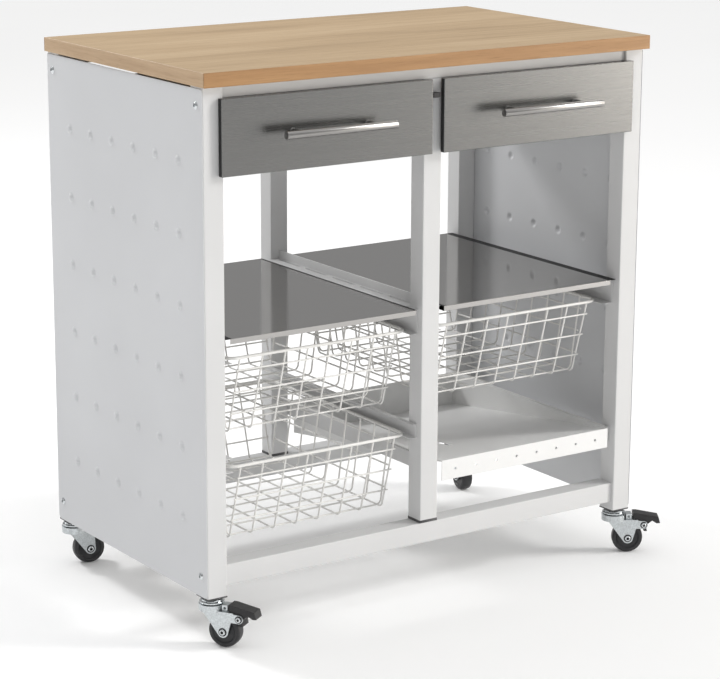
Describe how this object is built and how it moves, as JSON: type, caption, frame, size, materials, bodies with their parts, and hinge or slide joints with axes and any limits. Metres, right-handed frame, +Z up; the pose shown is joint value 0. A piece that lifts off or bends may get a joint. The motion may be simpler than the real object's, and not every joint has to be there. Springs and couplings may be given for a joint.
{
  "type": "kitchen island cart",
  "caption": "Rolling kitchen island with a wooden worktop, steel frame, drawers, shelves, wire baskets, a sloped bottle tray and swivel casters with brakes.",
  "frame": {"origin": "on the floor, at the middle of the cart's overall width and depth, with the brake pedals and drawer handles counted in", "axes": "+Z up, +Y from the front with its drawers to the back, +X to the right as seen from the front"},
  "size_m": [0.848, 0.5156, 0.842],
  "materials": {
    "worktop": "satin wood-grain board",
    "frame": "white powder coat",
    "panel": "white powder coat",
    "tray": "white powder coat",
    "drawer_box": "white powder coat",
    "basket": "white powder-coated wire",
    "stainless": "fine brushed stainless",
    "handle": "satin steel",
    "hardware": "zinc plated",
    "plug": "dark grey plastic",
    "spacer": "black plastic",
    "wheel": "black rubber tread",
    "pedal": "black plastic"
  },
  "bodies": {
    "frame": {"worktop": "worktop", "worktop_screws": "hardware", "front_left_post": "frame", "front_right_post": "frame", "rear_left_post": "frame", "rear_right_post": "frame", "front_center_post": "frame", "rear_center_post": "frame", "center_post_caps": "plug", "post_end_plugs": "plug", "top_front_rail": "frame", "top_rear_rail": "frame", "bottom_front_rail": "frame", "bottom_rear_rail": "frame", "left_side_panel": "panel", "right_side_panel": "panel", "panel_screws": "hardware", "left_shelf": "stainless", "right_shelf": "stainless", "shelf_divider": "frame", "upper_left_side_runner": "frame", "upper_left_center_runner": "frame", "upper_right_center_runner": "frame", "upper_right_side_runner": "frame", "lower_left_side_runner": "frame", "lower_left_center_runner": "frame", "tray_brackets": "frame", "bottle_tray": "tray", "drawer_spacer": "spacer", "left_drawer_tracks": "hardware", "right_drawer_tracks": "hardware", "caster_mounts": "hardware"},
    "left_drawer": {"left_drawer_front": "stainless", "left_drawer_box": "drawer_box", "left_drawer_slides": "hardware", "left_drawer_handle": "handle", "left_handle_screws": "hardware"},
    "right_drawer": {"right_drawer_front": "stainless", "right_drawer_box": "drawer_box", "right_drawer_slides": "hardware", "right_drawer_handle": "handle", "right_handle_screws": "hardware"},
    "upper_left_basket_body": {"upper_left_basket": "basket"},
    "upper_right_basket_body": {"upper_right_basket": "basket"},
    "lower_left_basket_body": {"lower_left_basket": "basket"},
    "front_left_caster": {"front_left_fork": "hardware", "front_left_axle": "hardware"},
    "front_left_roller": {"front_left_wheel": "wheel"},
    "front_left_pedal": {"front_left_brake": "pedal"},
    "front_right_caster": {"front_right_fork": "hardware", "front_right_axle": "hardware"},
    "front_right_roller": {"front_right_wheel": "wheel"},
    "front_right_pedal": {"front_right_brake": "pedal"},
    "rear_left_caster": {"rear_left_fork": "hardware", "rear_left_axle": "hardware"},
    "rear_left_roller": {"rear_left_wheel": "wheel"},
    "rear_right_caster": {"rear_right_fork": "hardware", "rear_right_axle": "hardware"},
    "rear_right_roller": {"rear_right_wheel": "wheel"}
  },
  "joints": [
    {"name": "left_drawer_slide", "type": "slide", "parent": "frame", "child": "left_drawer", "axis": [0, -1, 0], "range_m": [0, 0.3]},
    {"name": "right_drawer_slide", "type": "slide", "parent": "frame", "child": "right_drawer", "axis": [0, -1, 0], "range_m": [0, 0.3]},
    {"name": "upper_left_basket_slide", "type": "slide", "parent": "frame", "child": "upper_left_basket_body", "axis": [0, -1, 0], "range_m": [0, 0.28]},
    {"name": "upper_right_basket_slide", "type": "slide", "parent": "frame", "child": "upper_right_basket_body", "axis": [0, -1, 0], "range_m": [0, 0.28]},
    {"name": "lower_left_basket_slide", "type": "slide", "parent": "frame", "child": "lower_left_basket_body", "axis": [0, -1, 0], "range_m": [0, 0.28]},
    {"name": "front_left_swivel", "type": "hinge", "parent": "frame", "child": "front_left_caster", "pos_m": [-0.40329, -0.1897, 0.06], "axis": [0, 0, 1], "continuous": true},
    {"name": "front_left_wheel_spin", "type": "hinge", "parent": "front_left_caster", "child": "front_left_roller", "pos_m": [-0.3907, -0.20835, 0.025], "axis": [0.829, 0.5592, 0], "continuous": true},
    {"name": "front_left_brake_press", "type": "hinge", "parent": "front_left_caster", "child": "front_left_pedal", "pos_m": [-0.37645, -0.22949, 0.0474], "axis": [0.829, 0.5592, 0], "range_deg": [0, 20]},
    {"name": "front_right_swivel", "type": "hinge", "parent": "frame", "child": "front_right_caster", "pos_m": [0.35531, -0.1897, 0.06], "axis": [0, 0, 1], "continuous": true},
    {"name": "front_right_wheel_spin", "type": "hinge", "parent": "front_right_caster", "child": "front_right_roller", "pos_m": [0.37418, -0.20195, 0.025], "axis": [0.5446, 0.8387, 0], "continuous": true},
    {"name": "front_right_brake_press", "type": "hinge", "parent": "front_right_caster", "child": "front_right_pedal", "pos_m": [0.39557, -0.21584, 0.0474], "axis": [0.5446, 0.8387, 0], "range_deg": [0, 20]},
    {"name": "rear_left_swivel", "type": "hinge", "parent": "frame", "child": "rear_left_caster", "pos_m": [-0.40329, 0.2383, 0.06], "axis": [0, 0, 1], "continuous": true},
    {"name": "rear_left_wheel_spin", "type": "hinge", "parent": "rear_left_caster", "child": "rear_left_roller", "pos_m": [-0.3812, 0.23401, 0.025], "axis": [0.1908, 0.9816, 0], "continuous": true},
    {"name": "rear_right_swivel", "type": "hinge", "parent": "frame", "child": "rear_right_caster", "pos_m": [0.35531, 0.2383, 0.06], "axis": [0, 0, 1], "continuous": true},
    {"name": "rear_right_wheel_spin", "type": "hinge", "parent": "rear_right_caster", "child": "rear_right_roller", "pos_m": [0.35064, 0.21629, 0.025], "axis": [0.9781, -0.2079, 0], "continuous": true}
  ]
}
